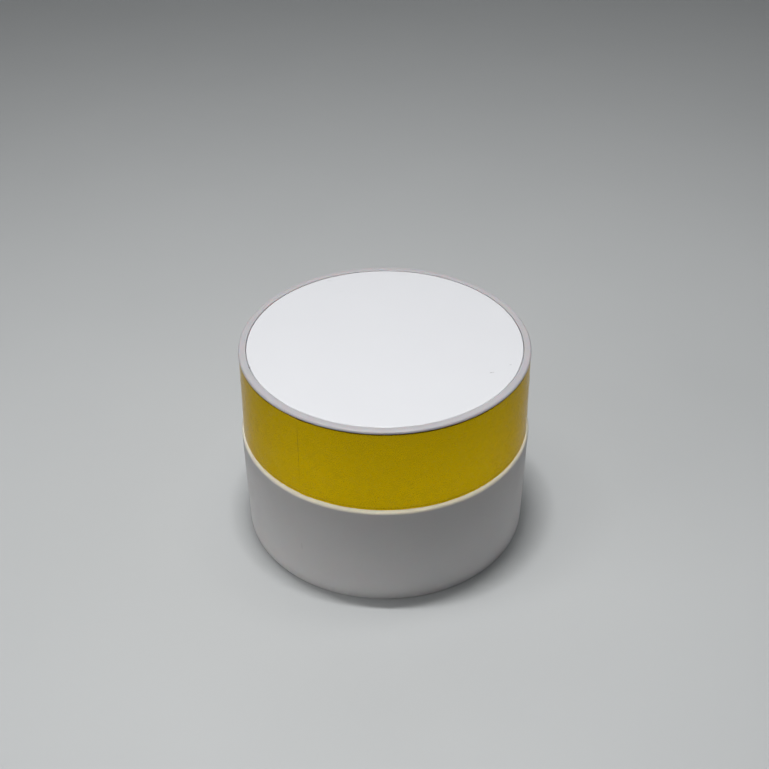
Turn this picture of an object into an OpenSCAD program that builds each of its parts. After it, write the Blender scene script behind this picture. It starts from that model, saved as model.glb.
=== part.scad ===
// Double-walled cosmetic cream jar with a screw lid, standing on its base at z = 0.

/* [Overall] */
// Diameter over the top of the lid
lid_d = 60; // [58:0.5:64]
// Height of the closed jar
total_h = 43.6; // [43:0.1:47]
// Height of the jar body up to its shoulder
body_h = 24; // [23:0.1:24.5]
// How much the lid widens from its top to its open end, on the radius
lid_draft = 0.35; // [0.1:0.05:0.5]
// How far the shoulder stands out past the lid's top edge, on the radius
shoulder_out = 0.7; // [0.6:0.05:1]
// How much the body narrows from its shoulder to its base, on the radius
body_draft = 0.3; // [0.2:0.05:0.8]

/* [Jar] */
// Wall of the outer jar
outer_wall = 1.6; // [1.4:0.1:1.8]
// Wall of the inner cup and its neck
cup_wall = 1.4; // [1.2:0.1:1.5]
// Rounding of the shoulder's outer edge
shoulder_round = 0.5; // [0.3:0.1:0.9]
// Rounding of the base's outer edge
base_round = 0.25; // [0.2:0.05:0.6]
// Depth of the hollow under the base
base_hollow = 0.7; // [0.4:0.1:1]

/* [Lid] */
// Radial width of the rim round the top disc
rim_w = 1.5; // [1.2:0.1:2]
// Rounding of the rim's outer edge
rim_round = 0.45; // [0.2:0.05:0.6]
// Thickness of the top disc
disc_t = 1; // [0.8:0.1:1.2]
// Gap between the top disc and the rim
disc_gap = 0.1; // [0.1:0.05:0.3]
// Thickness of the gold sleeve
sleeve_t = 0.2; // [0.15:0.05:0.3]
// Height of the shadow gap between the rim and the gold sleeve
shadow_gap = 0.25; // [0.2:0.05:0.5]
// Thickness of the foam liner
liner_t = 1.15; // [1:0.05:1.2]
// Number of ribs that hold the inner cap in the shell
ribs = 24; // [12:4:36]

/* [Thread] */
// Rise of the thread in one turn
lead = 6; // [5.6:0.1:6.4]
// Number of starts
starts = 2; // [1:1:2]
// Share of a turn that each start covers
thread_turns = 0.75; // [0.5:0.05:0.85]
// Radial height of a thread ridge
thread_h = 1; // [0.8:0.05:1]
// Radial gap between a ridge and the wall it faces
thread_gap = 0.4; // [0.35:0.05:0.5]

/* [Hidden] */
$fn = 144;

// Outline of the lid and the body
lid_r = lid_d / 2;
lid_bottom = body_h + 0.5;
shoulder_r = lid_r + shoulder_out;
base_r = shoulder_r - body_draft;
function lid_r_at(z) = lid_r + lid_draft * (total_h - z) / (total_h - lid_bottom);
function body_r_at(z) = base_r + body_draft * z / body_h;

// Lid, from the top down
rim_inner_r = lid_r - rim_w;
rim_edge = 0.5;
adhesive_t = 0.15;
disc_top = total_h - 0.05;
recess_floor = disc_top - disc_t - adhesive_t;
deck_t = 1.2;
deck_bottom = recess_floor - deck_t;
sleeve_top = total_h - rim_edge - shadow_gap;
gap_r = lid_r - 1;
sleeve_inset = 0.1;
lap_angle = 6;
lap_at = -123.9;
shell_wall = 1.25;
shell_bottom = lid_bottom + 0.1;
function sleeve_r_at(z) = lid_r_at(z) - sleeve_inset;
function shell_r_at(z) = sleeve_r_at(z) - sleeve_t - 0.02;

// Inner cap
cap_top = deck_bottom - 0.1;
cap_t = 1.2;
cap_ceiling = cap_top - cap_t;
cap_outer_r = lid_r - 1.8;
cap_inner_r = cap_outer_r - 1.2;
cap_bottom = shell_bottom + 0.3;
cap_flange_t = 1;
rib_w = 0.7;

// Liner and the bead that keeps it up
liner_r = cap_inner_r - 0.3;
liner_top = cap_ceiling - 0.05;
liner_bottom = liner_top - liner_t;
bead_top = liner_bottom - 0.1;
bead_h = 0.5;
bead_r = liner_r - 0.35;

// Neck and inner cup
neck_r = cap_inner_r - thread_gap - thread_h;
mouth_r = neck_r - cup_wall;
seal_t = 0.8;
seal_top = liner_bottom - 0.1;
neck_top = seal_top - seal_t - 0.05;
cup_bottom = 3;
cup_floor = cup_bottom + cup_wall;
cup_taper = 0.4;
cup_round = 5;
flange_top = body_h - 0.05;
flange_t = 1.25;
flange_r = shoulder_r - outer_wall - 0.25;
skirt_r = flange_r - 0.3;
skirt_wall = 1;
skirt_bottom = body_h - 5;
hook_r = skirt_r + 0.4;
hook_z = body_h - 3.1;

// Thread ridges: width at the wall and at the crest, and how deep they sink into the wall
ridge_root = 1.5;
ridge_crest = 0.7;
ridge_sink = 0.3;
ridge_step = 7.5;
ridge_fade = 4;
neck_thread_z = lid_bottom + 4;
cap_thread_drop = 1.3;

// Sealing disc and its pull tab
plug_r = mouth_r - 0.25;
plug_wall = 0.8;
plug_bottom = neck_top - 2.4;
panel_bottom = neck_top - 1.4;
panel_t = 0.8;
panel_top = panel_bottom + panel_t;
tab_w = 12;
tab_t = 0.8;
tab_bottom = panel_top + 0.15;
tab_top = tab_bottom + tab_t;
tab_hinge_y = 6.1;
tab_gap = 0.1;
tab_block = 3;
grip_ribs = 3;

// Points of an arc in the r-z plane, from angle a to angle b
function arc(centre, radius, a, b, steps = 8) =
    [for (i = [0:steps]) let (t = a + (b - a) * i / steps)
        [centre[0] + radius * cos(t), centre[1] + radius * sin(t)]];

module lathe(outline) {
    rotate_extrude() polygon(outline);
}

// One helical ridge. side is 1 on the outside of a neck and -1 on the inside of a cap.
module thread_ridge(wall_r, side, z0, start_angle) {
    steps = round(thread_turns * 360 / ridge_step);
    function share(i) = min(1, (i + 0.15) / ridge_fade, (steps - i + 0.15) / ridge_fade);
    function spot(r, i, dz) =
        let (a = start_angle + i * ridge_step)
        [r * cos(a), r * sin(a), z0 + lead * i * ridge_step / 360 + dz];
    function ring(i) =
        let (crest_r = wall_r + side * thread_h * share(i), sunk_r = wall_r - side * ridge_sink)
        [
            spot(sunk_r, i, -ridge_root / 2), spot(crest_r, i, -ridge_crest / 2),
            spot(crest_r, i, ridge_crest / 2), spot(sunk_r, i, ridge_root / 2)
        ];
    points = [for (i = [0:steps]) each ring(i)];
    skin = [for (i = [0:steps - 1], k = [0:3])
        let (a = 4 * i + k, b = 4 * i + (k + 1) % 4, c = a + 4, d = b + 4)
        each [[a, b, d], [a, d, c]]];
    last = 4 * steps;
    ends = [[0, 2, 1], [0, 3, 2], [last, last + 1, last + 2], [last, last + 2, last + 3]];
    faces = concat(skin, ends);
    polyhedron(points, side < 0 ? [for (f = faces) [f[0], f[2], f[1]]] : faces, convexity = 10);
}

module thread(wall_r, side, z0) {
    for (s = [0:starts - 1]) thread_ridge(wall_r, side, z0, s * 360 / starts);
}

// Outer wall of the jar: foot ring, hollow base, shelf for the cup's flange, rounded shoulder
module outer_jar() {
    foot_inner_r = base_r - 3.6;
    inside_floor = base_hollow + 1.7;
    inside_r = base_r - outer_wall;
    shelf_r = skirt_r + 0.1;
    shelf_top = flange_top - flange_t - 0.05;
    shelf_bottom = hook_z + 0.3;
    rebate_r = flange_r + 0.1;
    gate_r = 3;
    color("whitesmoke") difference() {
        lathe(concat(
            [[0, base_hollow], [foot_inner_r, base_hollow], [foot_inner_r + 0.5, 0]],
            arc([base_r - base_round, base_round], base_round, -90, 0),
            arc([shoulder_r - shoulder_round, body_h - shoulder_round], shoulder_round, 0, 90),
            [
                [rebate_r, body_h], [rebate_r, shelf_top], [shelf_r, shelf_top],
                [shelf_r, shelf_bottom], [body_r_at(shelf_bottom) - outer_wall, shelf_bottom - 0.4]
            ],
            arc([inside_r - 2, inside_floor + 2], 2, 0, -90),
            [[0, inside_floor]]
        ));
        translate([0, 0, base_hollow - 1]) cylinder(r = gate_r, h = 1.3);
    }
}

// Cup that holds the cream, with its threaded neck, its flange and the skirt that snaps under the shelf
module inner_cup() {
    floor_outer_r = neck_r - cup_taper;
    floor_inner_r = mouth_r - cup_taper;
    color("white") {
        lathe(concat(
            [[0, cup_bottom]],
            arc([floor_outer_r - cup_round - cup_wall, cup_floor + cup_round], cup_round + cup_wall, -90, 0),
            [
                [neck_r, flange_top - flange_t - 1], [skirt_r - skirt_wall, flange_top - flange_t],
                [skirt_r - skirt_wall, skirt_bottom], [skirt_r - 0.3, skirt_bottom],
                [hook_r, hook_z - 0.6], [hook_r, hook_z - 0.2], [skirt_r, hook_z + 0.2],
                [skirt_r, flange_top - flange_t], [flange_r, flange_top - flange_t],
                [flange_r, flange_top], [neck_r + 0.6, flange_top], [neck_r, flange_top + 0.6]
            ],
            arc([neck_r - 0.4, neck_top - 0.4], 0.4, 0, 90, 4),
            arc([mouth_r + 0.3, neck_top - 0.3], 0.3, 90, 180, 4),
            arc([floor_inner_r - cup_round, cup_floor + cup_round], cup_round, 0, -90),
            [[0, cup_floor]]
        ));
        thread(neck_r, 1, neck_thread_z);
    }
}

// Translucent dished disc that closes the cup, with the block that carries the tab
module sealing_disc() {
    seal_r = neck_r - 0.2;
    dish_r = plug_r - plug_wall;
    color("gainsboro") {
        lathe([
            [0, panel_bottom], [dish_r, panel_bottom], [dish_r, plug_bottom],
            [plug_r - 0.3, plug_bottom], [plug_r, plug_bottom + 0.5], [plug_r, seal_top - seal_t],
            [seal_r, seal_top - seal_t], [seal_r, seal_top - 0.2], [seal_r - 0.2, seal_top],
            [dish_r, seal_top], [dish_r - 0.3, panel_top], [0, panel_top]
        ]);
        translate([-tab_w / 2, tab_hinge_y + tab_t / 2 + tab_gap, panel_bottom + panel_t / 2])
            cube([tab_w, tab_block, tab_top - panel_bottom - panel_t / 2]);
    }
}

// Tongue that lies in the dish, with grip ribs near its free end
module pull_tab() {
    tab_l = 12.5;
    round_y = tab_hinge_y - tab_l + tab_w / 2;
    color("gainsboro") {
        translate([0, 0, tab_bottom]) linear_extrude(tab_t) {
            translate([0, round_y]) circle(d = tab_w);
            translate([-tab_w / 2, round_y]) square([tab_w, tab_hinge_y - round_y]);
        }
        translate([-tab_w / 2, tab_hinge_y, tab_bottom + tab_t / 2])
            rotate([0, 90, 0]) cylinder(d = tab_t, h = tab_w);
        for (i = [0:grip_ribs - 1])
            translate([-tab_w / 4, round_y - 3 + 1.5 * i, tab_top - 0.1])
                cube([tab_w / 2, 0.6, 0.3]);
    }
}

// Foam liner that presses on the sealing disc
module cap_liner() {
    color("white") lathe([
        [0, liner_bottom], [liner_r - 0.15, liner_bottom], [liner_r, liner_bottom + 0.15],
        [liner_r, liner_top - 0.15], [liner_r - 0.15, liner_top], [0, liner_top]
    ]);
}

// Threaded cap inside the lid, with the bead that keeps the liner up and the ribs that grip the shell
module inner_cap() {
    flange_out_r = shell_r_at(cap_bottom) - shell_wall - 0.05;
    rib_z = cap_bottom + cap_flange_t / 2;
    color("white") {
        lathe([
            [0, cap_ceiling], [cap_inner_r, cap_ceiling], [cap_inner_r, bead_top],
            [bead_r, bead_top - 0.1], [bead_r, bead_top - bead_h + 0.15], [cap_inner_r, bead_top - 2 * bead_h],
            [cap_inner_r, cap_bottom + 0.5], [cap_inner_r + 0.5, cap_bottom],
            [flange_out_r, cap_bottom], [flange_out_r, cap_bottom + cap_flange_t],
            [cap_outer_r, cap_bottom + cap_flange_t], [cap_outer_r, cap_top - 0.6],
            [cap_outer_r - 0.6, cap_top], [0, cap_top]
        ]);
        for (i = [0:ribs - 1]) rotate(i * 360 / ribs)
            translate([cap_outer_r - 0.3, -rib_w / 2, rib_z])
                cube([shell_r_at(cap_top) - shell_wall - cap_outer_r + 0.25, rib_w, cap_top - 1 - rib_z]);
        thread(cap_inner_r, -1, neck_thread_z - cap_thread_drop);
    }
}

// Outer shell of the lid: rim, recess for the top disc, shadow gap and the wall under the sleeve
module lid_shell() {
    color("gainsboro") lathe(concat(
        [
            [0, deck_bottom], [shell_r_at(deck_bottom) - shell_wall - 0.5, deck_bottom],
            [shell_r_at(deck_bottom) - shell_wall, deck_bottom - 0.5],
            [shell_r_at(shell_bottom) - shell_wall, shell_bottom], [shell_r_at(shell_bottom), shell_bottom],
            [shell_r_at(sleeve_top), sleeve_top], [gap_r, sleeve_top],
            [gap_r, sleeve_top + shadow_gap], [lid_r, total_h - rim_edge]
        ],
        arc([lid_r - rim_round, total_h - rim_round], rim_round, 0, 90),
        [
            [rim_inner_r + 0.1, total_h], [rim_inner_r, total_h - 0.1],
            [rim_inner_r, recess_floor], [0, recess_floor]
        ]
    ));
}

// Gold film round the shell, with its lap seam
module gold_sleeve() {
    module band(inner, outer) {
        polygon([
            [shell_r_at(lid_bottom) + inner, lid_bottom], [shell_r_at(lid_bottom) + outer, lid_bottom],
            [shell_r_at(sleeve_top) + outer, sleeve_top], [shell_r_at(sleeve_top) + inner, sleeve_top]
        ]);
    }
    color("goldenrod") {
        rotate_extrude() band(0.02, 0.02 + sleeve_t);
        rotate(lap_at) rotate_extrude(angle = lap_angle) band(0.1, 0.08 + sleeve_t);
    }
}

// Double-sided pad under the top disc
module disc_adhesive() {
    color("ivory") translate([0, 0, recess_floor]) cylinder(r = rim_inner_r - 1, h = adhesive_t);
}

// White disc let into the top of the lid
module top_disc() {
    r = rim_inner_r - disc_gap;
    bottom = disc_top - disc_t;
    color("white") lathe(concat(
        [[0, bottom], [r - 0.2, bottom], [r, bottom + 0.2]],
        arc([r - 0.25, disc_top - 0.25], 0.25, 0, 90, 5),
        [[0, disc_top]]
    ));
}

outer_jar();
inner_cup();
sealing_disc();
pull_tab();
cap_liner();
inner_cap();
lid_shell();
gold_sleeve();
disc_adhesive();
top_disc();
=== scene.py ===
"""Cosmetic cream jar: the looks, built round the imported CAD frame.

The four outside pieces are lathe meshes with fine roundings, which replace their CAD nodes. The inner
pieces keep their CAD shapes and get their own materials. Lengths in the outlines are in millimetres.
"""

import math

import bpy
from mathutils import Matrix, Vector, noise


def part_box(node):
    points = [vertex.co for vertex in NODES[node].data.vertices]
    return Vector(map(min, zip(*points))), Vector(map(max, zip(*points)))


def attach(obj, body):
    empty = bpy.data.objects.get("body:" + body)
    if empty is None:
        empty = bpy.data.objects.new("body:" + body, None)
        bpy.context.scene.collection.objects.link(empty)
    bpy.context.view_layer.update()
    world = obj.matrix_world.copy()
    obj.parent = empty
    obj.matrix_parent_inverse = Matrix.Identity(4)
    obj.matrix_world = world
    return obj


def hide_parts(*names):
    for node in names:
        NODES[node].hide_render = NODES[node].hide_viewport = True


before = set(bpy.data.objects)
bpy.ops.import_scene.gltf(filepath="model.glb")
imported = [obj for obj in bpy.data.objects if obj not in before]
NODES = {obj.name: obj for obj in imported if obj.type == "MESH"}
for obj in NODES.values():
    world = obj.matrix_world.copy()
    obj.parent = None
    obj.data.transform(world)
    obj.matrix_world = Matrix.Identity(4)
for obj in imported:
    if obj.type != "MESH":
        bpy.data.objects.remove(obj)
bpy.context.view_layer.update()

MM = 0.001

# Where the lap seam of the gold film starts, in degrees from +X, and how far it runs
SEAM_AT = -123.9
SEAM_SPAN = 6.0

# Small marks in mm: centre, turn about Z, half sizes and strength. They are marks of use, except the
# first band mark, which is painted shade along the film's lap seam
DISC_MARKS = [
    ((-12.2, 24.2, 43.5), -5, (1.0, 0.22, 1), 0.16),
    ((21.2, -11.0, 43.5), 12, (0.62, 0.13, 1), 0.75),
    ((25.1, -8.4, 43.5), 8, (0.32, 0.10, 1), 0.55),
    ((-9.5, 19.7, 43.5), -30, (0.45, 0.15, 1), 0.12),
    ((-6.8, 25.3, 43.5), 10, (0.60, 0.12, 1), 0.10),
    ((-26.9, -8.8, 43.5), 60, (0.28, 0.16, 1), 0.8),
]
RIM_MARKS = [((-26.95, -8.9, 43.5), 60, (0.34, 0.22, 1), 0.8)]
WALL_MARKS = [((-17.2, -25.3, 10.3), SEAM_AT, (3, 0.10, 1.1), 0.8)]
BAND_MARKS_AND_SEAM_SHADE = [
    # Painted shade: a dark line along the film's lap seam, standing in for the shade of its step
    ((-16.75, -24.93, 35.0), SEAM_AT, (3, 0.10, 10.5), 0.95),
    ((-30.0, -2.0, 36.5), 184, (3, 0.10, 1.3), 0.35),
]


# ---------------------------------------------------------------- measures

def corner_mm(node):
    """Outer radius, lowest and highest point of a CAD node, in millimetres."""
    low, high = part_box(node)
    return high.x / MM, low.z / MM, high.z / MM


SHOULDER_R, _, SHOULDER_Z = corner_mm("outer_jar")
_, SHELL_BOTTOM, LID_TOP = corner_mm("lid_shell")
BAND_R, BAND_BOTTOM, BAND_TOP = corner_mm("gold_sleeve")
DISC_R, DISC_BOTTOM, DISC_TOP = corner_mm("top_disc")

# The jar's wall and how much it narrows towards the base, on the radius
JAR_WALL = 1.6
BODY_DRAFT = 0.3
BASE_ROUND = 0.25
SHOULDER_ROUND = 0.5

# The lid's top edge, its rim and the film
LID_R = BAND_R - 0.25
RIM_H = 0.5
RIM_ROUND = 0.42
LIP_ROUND = 0.08
SHELL_WALL = 1.25
FILM_T = 0.2


# ---------------------------------------------------------------- meshes

def arc(centre, radius, start, end, steps=10):
    """Points of an arc in the radius-height plane, from angle start to end in degrees."""
    turn = [math.radians(start + (end - start) * i / steps) for i in range(steps + 1)]
    return [(centre[0] + radius * math.cos(t), centre[1] + radius * math.sin(t)) for t in turn]


def ramp(start, end, steps):
    """Points along a straight stretch, without its last one."""
    return [
        (start[0] + (end[0] - start[0]) * i / steps, start[1] + (end[1] - start[1]) * i / steps)
        for i in range(steps)
    ]


def finish_mesh(name, verts, faces, sharp=35):
    mesh = bpy.data.meshes.new(name)
    mesh.from_pydata(verts, [], faces)
    mesh.validate()
    mesh.shade_smooth()
    mesh.set_sharp_from_angle(angle=math.radians(sharp))
    obj = bpy.data.objects.new(name, mesh)
    bpy.context.scene.collection.objects.link(obj)
    return obj


def lathe(name, outline, angles=360, shape=None, sharp=35):
    """Turns a closed outline of (radius, height) in mm round Z. Points at radius 0 are poles.

    shape(angle, radius, height) gives a small change of radius and height, in mm.
    """
    turns = [360 * i / angles for i in range(angles)] if isinstance(angles, int) else angles
    verts, rings = [], []
    for r, z in outline:
        if r < 1e-6:
            rings.append([len(verts)] * len(turns))
            verts.append((0, 0, z * MM))
            continue
        rings.append(list(range(len(verts), len(verts) + len(turns))))
        for a in turns:
            dr, dz = shape(a, r, z) if shape else (0, 0)
            t = math.radians(a)
            verts.append(((r + dr) * MM * math.cos(t), (r + dr) * MM * math.sin(t), (z + dz) * MM))
    faces = []
    count = len(turns)
    for low, high in zip(rings, rings[1:] + rings[:1]):
        if low[0] == low[1] and high[0] == high[1]:
            continue
        for i in range(count):
            j = (i + 1) % count
            corners = [low[i], low[j], high[j], high[i]]
            faces.append([c for k, c in enumerate(corners) if c not in corners[:k]])
    return finish_mesh(name, verts, faces, sharp)


def waviness(angle, height, size, depth, seed):
    """Smooth unevenness of a surface round Z: features of about size mm, depth mm deep."""
    t = math.radians(angle)
    reach = 30 / size
    return depth * noise.noise((reach * math.cos(t) + seed, reach * math.sin(t), height / size))


def make_jar_wall():
    """Outer wall: foot ring, hollow base with its gate mark, rounded shoulder, inside shelf."""
    base_r = SHOULDER_R - BODY_DRAFT
    hollow = 0.7
    foot_r = base_r - 3.6
    floor_z = hollow + 1.7
    inner_r = base_r - JAR_WALL
    rebate_r = SHOULDER_R - JAR_WALL - 0.15
    shelf_r = rebate_r - 0.3
    shelf_z = SHOULDER_Z - 1.35

    def body_r(z):
        return base_r + BODY_DRAFT * z / SHOULDER_Z

    outline = [(0, hollow + 0.15), (0.6, hollow + 0.1), (0.9, hollow + 0.3), (2.7, hollow + 0.3)]
    outline += arc((3.15, hollow + 0.15), 0.15, 180, 270, 4)
    outline += [(foot_r - 0.4, hollow)]
    outline += arc((foot_r + 0.7, 0.3), 0.3, 210, 270, 6)
    outline += arc((base_r - BASE_ROUND, BASE_ROUND), BASE_ROUND, -90, 0, 8)
    edge_z = SHOULDER_Z - SHOULDER_ROUND
    outline += ramp((body_r(1), 1), (body_r(edge_z), edge_z), 24)
    outline += arc((SHOULDER_R - SHOULDER_ROUND, edge_z), SHOULDER_ROUND, 0, 90, 12)
    outline += arc((rebate_r + 0.15, SHOULDER_Z - 0.15), 0.15, 90, 180, 4)
    outline += [
        (rebate_r, shelf_z), (shelf_r, shelf_z), (shelf_r, SHOULDER_Z - 2.8),
        (body_r(SHOULDER_Z - 4) - JAR_WALL, SHOULDER_Z - 3.2),
    ]
    outline += arc((inner_r - 2, floor_z + 2), 2, 0, -90, 8)
    outline += [(0, floor_z)]

    def uneven(a, r, z):
        outside = 1 < z < SHOULDER_Z - 1 and r > inner_r + JAR_WALL / 2
        return waviness(a, z, 14, 0.006, 3.0) if outside else 0, 0

    return lathe("jar_wall", outline, shape=uneven)


def make_lid_shell():
    """Milky shell of the lid: its rim, the disc's recess, the shadow gap and the wall under the film."""
    rim_in = DISC_R + 0.09
    deck_top = DISC_BOTTOM - 0.15
    deck_low = deck_top - 1.2
    gap_r = LID_R - 1
    shell_top_r = LID_R - 0.31
    shell_low_r = BAND_R - 0.24
    outline = [
        (0, deck_low), (shell_top_r - SHELL_WALL - 0.5, deck_low),
        (shell_top_r - SHELL_WALL, deck_low - 0.5), (shell_low_r - SHELL_WALL, SHELL_BOTTOM),
        (shell_low_r, SHELL_BOTTOM), (shell_top_r, BAND_TOP), (gap_r, BAND_TOP), (gap_r, LID_TOP - RIM_H),
    ]
    outline += arc((LID_R - LIP_ROUND, LID_TOP - RIM_H + LIP_ROUND), LIP_ROUND, -90, 0, 4)
    outline += arc((LID_R - RIM_ROUND, LID_TOP - RIM_ROUND), RIM_ROUND, 6, 90, 14)
    outline += arc((rim_in + 0.12, LID_TOP - 0.12), 0.12, 90, 180, 6)
    outline += [(rim_in, deck_top), (0, deck_top)]
    return lathe("lid_rim_shell", outline)


def seam_step(angle):
    """How far the film stands out at its lap: a sharp edge where it starts, then a soft slope back."""
    past = (angle - SEAM_AT) % 360
    if past > SEAM_SPAN:
        return 0.0
    slope = min(1.0, (SEAM_SPAN - past) / 2.5)
    return 0.07 * slope * slope * (3 - 2 * slope)


def make_gold_band():
    """Gold film round the lid: its lap, a pressed line above its lower edge and a little slackness."""
    top_r = LID_R - 0.085
    inner_top, inner_low = top_r - FILM_T + 0.01, BAND_R - FILM_T - 0.01

    def outer_r(z):
        return top_r + (BAND_R - top_r) * (BAND_TOP - z) / (BAND_TOP - BAND_BOTTOM)

    crease = BAND_BOTTOM + 0.55
    outline = [(inner_low, BAND_BOTTOM + 0.02), (inner_low, BAND_BOTTOM)]
    outline += arc((outer_r(BAND_BOTTOM) - 0.06, BAND_BOTTOM + 0.06), 0.06, -90, 0, 3)
    outline += [(outer_r(crease) - 0.004, crease - 0.06), (outer_r(crease) - 0.035, crease)]
    outline += ramp((outer_r(crease), crease + 0.07), (outer_r(BAND_TOP - 0.1), BAND_TOP - 0.1), 40)
    outline += arc((top_r - 0.05, BAND_TOP - 0.05), 0.05, 0, 90, 3)
    outline += [(inner_top, BAND_TOP)]
    near_seam = [SEAM_AT - 0.02, SEAM_AT + 0.08, SEAM_AT + 0.3]
    turns = sorted(set([a % 360 for a in near_seam] + [float(a) for a in range(360)]))

    def film(a, r, z):
        if r < outer_r(z) - FILM_T * 0.75:
            return 0, 0
        free = min(1, (z - BAND_BOTTOM) / 2, (BAND_TOP - z) / 2)
        slack = waviness(a, z, 9, 0.012, 11.0) + waviness(a, z, 3.2, 0.003, 5.0)
        return free * slack + seam_step(a), 0

    return lathe("gold_band", outline, turns, film, sharp=50)


def make_top_disc():
    """White disc with a rounded edge and the faint unevenness of a moulded face."""
    outline = [(0, DISC_BOTTOM), (DISC_R - 0.2, DISC_BOTTOM), (DISC_R, DISC_BOTTOM + 0.2)]
    outline += arc((DISC_R - 0.25, DISC_TOP - 0.25), 0.25, 0, 90, 8)
    outline += ramp((DISC_R - 0.7, DISC_TOP), (0, DISC_TOP), 18)
    outline += [(0, DISC_TOP)]

    def uneven(a, r, z):
        if z < DISC_TOP - 0.01:
            return 0, 0
        t = math.radians(a)
        spot = (r * math.cos(t) / 16, r * math.sin(t) / 16, 2.0)
        return 0, -0.006 - 0.006 * noise.noise(spot)

    return lathe("inlay_disc", outline, shape=uneven)


# ---------------------------------------------------------------- materials

class Look:
    """A material's node tree, with short calls for the nodes that the jar's materials share."""

    def __init__(self, name):
        self.material = bpy.data.materials.new(name)
        self.material.use_nodes = True
        self.tree = self.material.node_tree
        self.shader = self.tree.nodes["Principled BSDF"]
        self.coords = self.add("ShaderNodeTexCoord").outputs["Object"]

    def add(self, kind, **settings):
        node = self.tree.nodes.new(kind)
        for key, value in settings.items():
            setattr(node, key, value)
        return node

    def link(self, source, target):
        self.tree.links.new(source, target)

    def set(self, **values):
        """Constants on the shader's own sockets: underscores stand for spaces."""
        for key, value in values.items():
            self.shader.inputs[key.replace("_", " ").title().replace("Ior", "IOR")].default_value = value

    def noise(self, size_mm, detail=2):
        """Noise with features of about size_mm."""
        node = self.add("ShaderNodeTexNoise")
        node.inputs["Scale"].default_value = 1 / (size_mm * MM)
        node.inputs["Detail"].default_value = detail
        self.link(self.coords, node.inputs["Vector"])
        return node.outputs["Fac"]

    def between(self, value, low, high, to_low=0.0, to_high=1.0):
        """value between low and high, mapped to to_low and to_high."""
        node = self.add("ShaderNodeMapRange")
        node.inputs["From Min"].default_value = low
        node.inputs["From Max"].default_value = high
        node.inputs["To Min"].default_value = to_low
        node.inputs["To Max"].default_value = to_high
        self.link(value, node.inputs["Value"])
        return node.outputs["Result"]

    def mix(self, share, low, high):
        """Mix of two colours, each a colour or a socket."""
        node = self.add("ShaderNodeMix", data_type="RGBA")
        self.link(share, node.inputs["Factor"])
        for socket, value in (("A", low), ("B", high)):
            target = [s for s in node.inputs if s.name == socket and s.type == "RGBA"][0]
            if isinstance(value, bpy.types.NodeSocket):
                self.link(value, target)
            else:
                target.default_value = (*value, 1)
        return [s for s in node.outputs if s.type == "RGBA"][0]

    def math(self, operation, a, b):
        node = self.add("ShaderNodeMath", operation=operation)
        for socket, value in zip(node.inputs, (a, b)):
            if isinstance(value, bpy.types.NodeSocket):
                self.link(value, socket)
            else:
                socket.default_value = value
        return node.outputs["Value"]

    def streak(self, centre, turn, size, fade=0.5):
        """1 inside a small oval mark, 0 outside it. Lengths in mm, turn about Z in degrees."""
        mapping = self.add("ShaderNodeMapping", vector_type="TEXTURE")
        mapping.inputs["Location"].default_value = [c * MM for c in centre]
        mapping.inputs["Rotation"].default_value = (0, 0, math.radians(turn))
        mapping.inputs["Scale"].default_value = [c * MM for c in size]
        reach = self.add("ShaderNodeVectorMath", operation="LENGTH")
        self.link(self.coords, mapping.inputs["Vector"])
        self.link(mapping.outputs["Vector"], reach.inputs[0])
        return self.between(reach.outputs["Value"], fade, 1, 1, 0)

    def marks(self, spots, texture_mm=0.35):
        """Several streaks in one mask, broken up by noise. A spot is centre, turn, size and strength."""
        total = 0.0
        for centre, turn, size, strength in spots:
            mark = self.math("MULTIPLY", self.streak(centre, turn, size), strength)
            total = self.math("MAXIMUM", mark, total)
        return self.math("MULTIPLY", total, self.between(self.noise(texture_mm, 2), 0.38, 0.58, 0.25, 1))

    def colour(self, socket):
        self.link(socket, self.shader.inputs["Base Color"])

    def roughness(self, socket):
        self.link(socket, self.shader.inputs["Roughness"])

    def bump(self, height, depth_mm, strength=1.0):
        node = self.add("ShaderNodeBump")
        node.inputs["Strength"].default_value = strength
        node.inputs["Distance"].default_value = depth_mm * MM
        self.link(height, node.inputs["Height"])
        self.link(node.outputs["Normal"], self.shader.inputs["Normal"])

    def height(self):
        """Height above the base, as a socket."""
        split = self.add("ShaderNodeSeparateXYZ")
        self.link(self.coords, split.inputs["Vector"])
        return split.outputs["Z"]


def satin_white():
    """Satin moulded white: fine grain, painted shade that makes it darker towards its top and lighter at
    the base, a little grime.
    """
    look = Look("satin_white_plastic")
    # Painted shade: the wall's colour runs from a light, lit tone at the base to a dark, shaded tone
    # below the shoulder, standing in for how light falls on it
    top_shade_share = look.math("POWER", look.between(look.height(), 2 * MM, 22 * MM), 0.6)
    base_lit_tone = look.mix(look.noise(9, 3), (0.790, 0.767, 0.762), (0.815, 0.792, 0.787))
    top_shaded_tone = look.mix(look.noise(9, 3), (0.495, 0.479, 0.476), (0.520, 0.504, 0.501))
    tone = look.mix(top_shade_share, base_lit_tone, top_shaded_tone)
    foot = look.between(look.height(), 0.3 * MM, 2.2 * MM, 1, 0)
    worn = look.math("MULTIPLY", foot, look.between(look.noise(1.2, 4), 0.42, 0.62))
    worn = look.math("MAXIMUM", look.math("MULTIPLY", worn, 0.10), look.marks(WALL_MARKS))
    look.colour(look.mix(worn, tone, (0.40, 0.385, 0.38)))
    grain = look.noise(0.22, 3)
    rough = look.between(look.noise(5, 3), 0.35, 0.65, 0.40, 0.50)
    look.roughness(look.math("ADD", rough, look.between(grain, 0.3, 0.7, -0.03, 0.03)))
    look.bump(grain, 0.006, 0.5)
    look.set(subsurface_weight=0.08, subsurface_scale=0.0012, ior=1.49)
    return look.material


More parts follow.
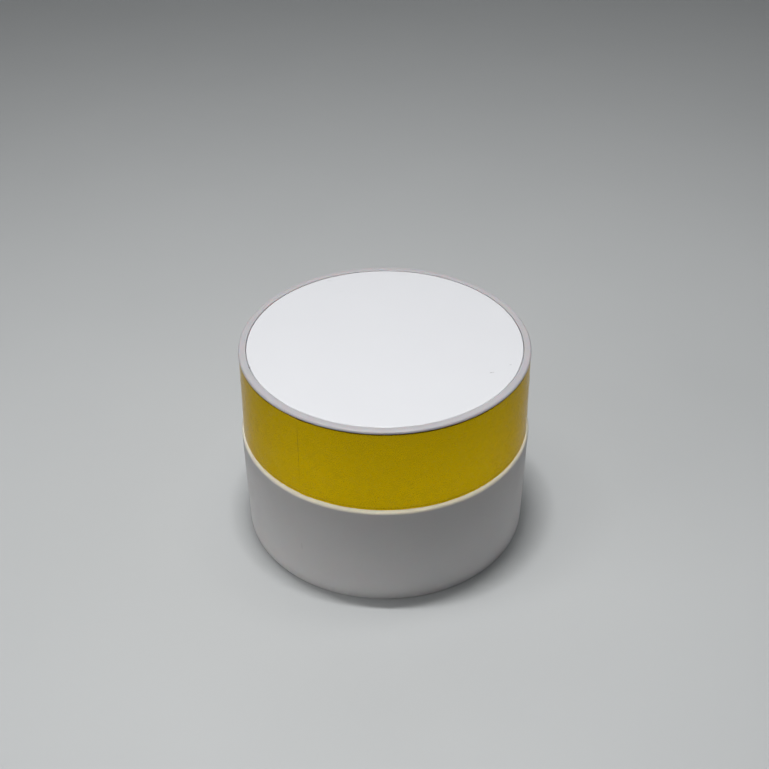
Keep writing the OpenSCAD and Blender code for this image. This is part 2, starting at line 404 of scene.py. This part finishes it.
def milky_rim():
    """Milky, slightly violet-grey plastic of the lid's shell, with painted shade: near black inside the
    shadow gap.
    """
    look = Look("milky_rim_plastic")
    tone = look.mix(look.noise(6, 3), (0.480, 0.463, 0.482), (0.515, 0.498, 0.516))
    tone = look.mix(look.marks(RIM_MARKS), tone, (0.16, 0.15, 0.16))
    height = look.height()
    rim_low = LID_TOP - RIM_H
    # Painted shade: the shell is coloured near black between the film's top and the rim's lower edge,
    # inside the shadow gap
    above_band = look.between(height, (BAND_TOP - 0.05) * MM, (BAND_TOP - 0.02) * MM)
    below_rim = look.between(height, (rim_low - 0.04) * MM, (rim_low + 0.02) * MM, 1, 0)
    look.colour(look.mix(look.math("MULTIPLY", above_band, below_rim), tone, (0.015, 0.008, 0.004)))
    look.roughness(look.between(look.noise(2.5, 4), 0.3, 0.7, 0.34, 0.44))
    look.bump(look.noise(0.5, 2), 0.003, 0.4)
    look.set(subsurface_weight=0.15, subsurface_scale=0.0015, ior=1.49)
    return look.material


def gold_film():
    """Metallised film under clear gloss: fine grain, painted shade that darkens its top, hairline scuffs,
    and a painted shade line along its lap seam.
    """
    look = Look("gold_film")
    grain = look.noise(0.16, 2)
    tone = look.mix(look.noise(4, 3), (0.68, 0.450, 0.0), (0.73, 0.488, 0.0))
    tone = look.mix(look.between(grain, 0.35, 0.75, 0, 0.25), tone, (0.56, 0.37, 0.0))
    # Painted shade: the film's colour darkens from 30 mm up to its top edge under the rim
    tone = look.mix(look.between(look.height(), 30 * MM, 43 * MM, 0, 0.8), tone, (0.56, 0.375, 0.0))
    look.colour(look.mix(look.marks(BAND_MARKS_AND_SEAM_SHADE, 0.6), tone, (0.22, 0.15, 0.01)))
    rough = look.between(look.noise(3, 3), 0.3, 0.7, 0.24, 0.30)
    look.roughness(look.math("ADD", rough, look.between(grain, 0.3, 0.7, -0.04, 0.04)))
    look.bump(grain, 0.0015, 0.5)
    look.set(metallic=1.0, coat_weight=0.3, coat_roughness=0.06, coat_ior=1.25)
    look.shader.inputs["Specular Tint"].default_value = (0.80, 0.70, 0.45, 1)
    return look.material


def glossy_white():
    """Semi-gloss white of the inlaid disc, with light scuffs and a few specks of dust."""
    look = Look("disc_white_plastic")
    tone = look.mix(look.noise(12, 2), (0.760, 0.766, 0.792), (0.780, 0.786, 0.812))
    look.colour(look.mix(look.marks(DISC_MARKS), tone, (0.20, 0.19, 0.20)))
    look.roughness(look.between(look.noise(4, 4), 0.3, 0.7, 0.17, 0.25))
    look.bump(look.noise(0.6, 2), 0.002, 0.35)
    look.set(ior=1.49)
    return look.material


def moulded_white(name, low, high, rough):
    """Semi-gloss moulded white of a hidden part, with faint flow marks."""
    look = Look(name)
    look.colour(look.mix(look.noise(7, 3), low, high))
    look.roughness(look.between(look.noise(3, 3), 0.3, 0.7, rough - 0.05, rough + 0.05))
    look.bump(look.noise(0.3, 2), 0.004, 0.4)
    look.set(ior=1.49, subsurface_weight=0.1, subsurface_scale=0.001)
    return look.material


def cloudy_polythene():
    """Translucent polythene of the sealing disc and its tab."""
    look = Look("cloudy_polythene")
    look.colour(look.mix(look.noise(5, 3), (0.80, 0.83, 0.85), (0.87, 0.89, 0.90)))
    look.roughness(look.between(look.noise(1.5, 3), 0.3, 0.7, 0.34, 0.46))
    look.bump(look.noise(0.35, 2), 0.005, 0.5)
    look.set(subsurface_weight=0.5, subsurface_scale=0.002, transmission_weight=0.25, ior=1.51)
    return look.material


def liner_foam():
    """White foam of the liner, with its fine closed cells."""
    look = Look("liner_foam")
    cells = look.add("ShaderNodeTexVoronoi")
    cells.inputs["Scale"].default_value = 1 / (0.25 * MM)
    look.link(look.coords, cells.inputs["Vector"])
    look.colour(look.mix(look.noise(3, 3), (0.84, 0.84, 0.82), (0.90, 0.90, 0.88)))
    look.roughness(look.between(cells.outputs["Distance"], 0, 0.7, 0.55, 0.75))
    look.bump(cells.outputs["Distance"], 0.02, 0.6)
    return look.material


def adhesive_film():
    """Tacky film under the disc."""
    look = Look("adhesive_film")
    look.colour(look.mix(look.noise(2, 3), (0.78, 0.76, 0.66), (0.84, 0.82, 0.74)))
    look.roughness(look.between(look.noise(1, 3), 0.3, 0.7, 0.3, 0.5))
    return look.material


def paint(obj, material):
    obj.data.materials.clear()
    obj.data.materials.append(material)


# ---------------------------------------------------------------- the jar

def place(piece, body, node, material):
    """A built piece: its material, the body it rides on and the CAD node it stands for."""
    paint(piece, material)
    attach(piece, body)
    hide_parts(node)


seal_material = cloudy_polythene()
jar_wall = make_jar_wall()
place(jar_wall, "jar", "outer_jar", satin_white())
place(make_lid_shell(), "lid", "lid_shell", milky_rim())
place(make_gold_band(), "lid", "gold_sleeve", gold_film())
place(make_top_disc(), "lid", "top_disc", glossy_white())

KEPT = {
    "inner_cup": moulded_white("cup_white_plastic", (0.84, 0.84, 0.83), (0.88, 0.88, 0.87), 0.28),
    "inner_cap": moulded_white("cap_white_plastic", (0.85, 0.85, 0.85), (0.89, 0.89, 0.89), 0.32),
    "sealing_disc": seal_material,
    "pull_tab": seal_material,
    "cap_liner": liner_foam(),
    "disc_adhesive": adhesive_film(),
}
for kept_node, kept_material in KEPT.items():
    paint(NODES[kept_node], kept_material)


# ---------------------------------------------------------------- the studio

def make_floor():
    """Plain pale floor, wide enough to fill the view."""
    side = 3.0
    verts = [(-side, -side, 0), (side, -side, 0), (side, side, 0), (-side, side, 0)]
    floor = finish_mesh("floor", verts, [(0, 1, 2, 3)])
    look = Look("pale_floor")
    look.colour(look.mix(look.noise(60, 3), (0.566, 0.582, 0.586), (0.592, 0.606, 0.609)))
    look.roughness(look.between(look.noise(20, 3), 0.3, 0.7, 0.55, 0.65))
    look.bump(look.noise(2.0, 4), 0.02, 0.25)
    paint(floor, look.material)


def area_lamp(name, place_m, size, power, colour=(1, 1, 1), aim=(0, 0, 0.02)):
    """A rectangular soft lamp, its first size along X, turned towards aim."""
    data = bpy.data.lights.new(name, "AREA")
    data.shape = "RECTANGLE"
    data.size, data.size_y = size
    data.energy = power
    data.color = colour
    lamp = bpy.data.objects.new(name, data)
    bpy.context.scene.collection.objects.link(lamp)
    lamp.location = place_m
    direction = lamp.location - Matrix.Translation(aim).translation
    lamp.rotation_euler = direction.to_track_quat("Z", "Y").to_euler()
    return lamp


def shine_only_on(lamp, pieces):
    """Keeps a lamp to the given pieces, and lets nothing else stand in its way."""
    for role in ("receiver_collection", "blocker_collection"):
        group = bpy.data.collections.new(lamp.name + "_" + role)
        for piece in pieces:
            group.objects.link(piece)
        setattr(lamp.light_linking, role, group)


def make_lights(jar_wall):
    """A gridded key overhead, soft light at the sides and behind, and a lamp for the shoulder.

    That last lamp stands for the light that the lid's clear gloss lets out on the shoulder below it.
    """
    warm, cool, amber = (1.0, 0.99, 0.985), (0.98, 0.99, 1.0), (1.0, 0.95, 0.72)
    key = area_lamp("key_lamp", (-0.013, -0.0035, 0.42), (0.066, 0.005), 0.545, aim=(-0.02, -0.11, 0))
    key.data.spread = math.radians(140)
    area_lamp("top_tube", (-0.03, 0.02, 0.42), (0.30, 0.05), 0.37, aim=(-0.02, -0.02, 0))
    area_lamp("left_soft", (-0.45, -0.20, 0.25), (0.30, 0.20), 0.46, warm)
    area_lamp("right_soft", (0.42, 0.04, 0.36), (0.35, 0.25), 0.14, warm)
    area_lamp("back_card", (0, 1.05, 1.13), (1.2, 0.5), 1.5, cool)
    shoulder = (0, 0, SHOULDER_Z * MM)
    guided = area_lamp("guided_light", (0, 0.01, 0.42), (0.06, 0.06), 1.42, amber, shoulder)
    shine_only_on(guided, [jar_wall])
    world = bpy.data.worlds.new("studio")
    bpy.context.scene.world = world
    world.use_nodes = True
    sky = world.node_tree.nodes["Background"].inputs
    sky["Color"].default_value = (0.93, 0.97, 1.0, 1)
    sky["Strength"].default_value = 0.08


def make_camera():
    """Camera above and in front of the jar, looking down at it."""
    data = bpy.data.cameras.new("camera")
    data.lens = 55.0
    data.sensor_width = 36
    camera = bpy.data.objects.new("camera", data)
    bpy.context.scene.collection.objects.link(camera)
    look_down, roll = 36.22, -0.27
    tilt = Matrix.Rotation(math.radians(90 - look_down), 4, "X")
    turn = tilt @ Matrix.Rotation(math.radians(roll), 4, "Z")
    camera.matrix_world = Matrix.Translation((-0.0001, -0.19976, 0.17897)) @ turn
    bpy.context.scene.camera = camera


make_floor()
make_lights(jar_wall)
make_camera()
bpy.context.scene.view_settings.view_transform = "Standard"
